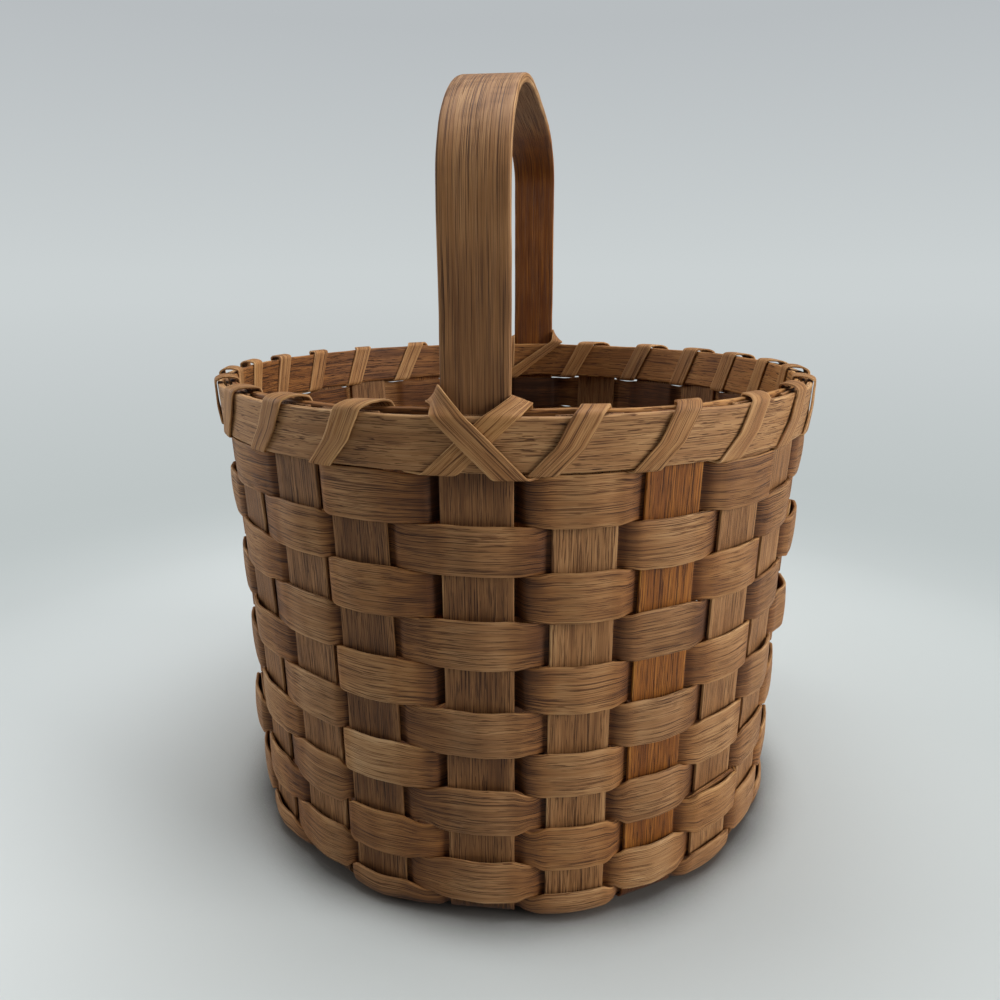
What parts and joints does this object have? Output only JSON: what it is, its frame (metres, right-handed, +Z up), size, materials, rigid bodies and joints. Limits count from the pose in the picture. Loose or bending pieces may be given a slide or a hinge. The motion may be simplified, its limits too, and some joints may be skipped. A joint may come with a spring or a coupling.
{
  "type": "woven basket",
  "caption": "Round splint basket woven over flat stakes, with a double rim lashed on and one fixed bent handle over the top.",
  "frame": {"origin": "centre of the flat underside, where the basket rests", "axes": "+Z up; the handle stands over the Y axis with its front leg at -Y; +X to the right, seen from the front leg"},
  "size_m": [0.2022, 0.204, 0.239],
  "materials": {
    "stakes": "oiled splint, satin",
    "weavers": "oiled splint, satin",
    "rims": "oiled splint, satin",
    "handle": "sanded wood, satin",
    "lashing": "oiled splint, satin"
  },
  "bodies": {
    "root": {"long_spoke_1": "stakes", "long_spoke_2": "stakes", "long_spoke_3": "stakes", "long_spoke_4": "stakes", "long_spoke_5": "stakes", "long_spoke_6": "stakes", "added_stake_01": "stakes", "added_stake_02": "stakes", "added_stake_03": "stakes", "added_stake_04": "stakes", "added_stake_05": "stakes", "added_stake_06": "stakes", "added_stake_07": "stakes", "added_stake_08": "stakes", "added_stake_09": "stakes", "added_stake_10": "stakes", "added_stake_11": "stakes", "added_stake_12": "stakes", "weaver_row_01": "weavers", "weaver_row_02": "weavers", "weaver_row_03": "weavers", "weaver_row_04": "weavers", "weaver_row_05": "weavers", "weaver_row_06": "weavers", "weaver_row_07": "weavers", "weaver_row_08": "weavers", "weaver_row_09": "weavers", "weaver_row_10": "weavers", "weaver_row_11": "weavers", "weaver_row_12": "weavers", "base_weaver_1": "weavers", "base_weaver_2": "weavers", "base_weaver_3": "weavers", "base_weaver_4": "weavers", "base_weaver_5": "weavers", "base_weaver_6": "weavers", "rim_outer": "rims", "rim_inner": "rims", "handle": "handle", "rim_lashing": "lashing", "handle_lashing_front": "lashing", "handle_lashing_rear": "lashing"}
  },
  "joints": []
}
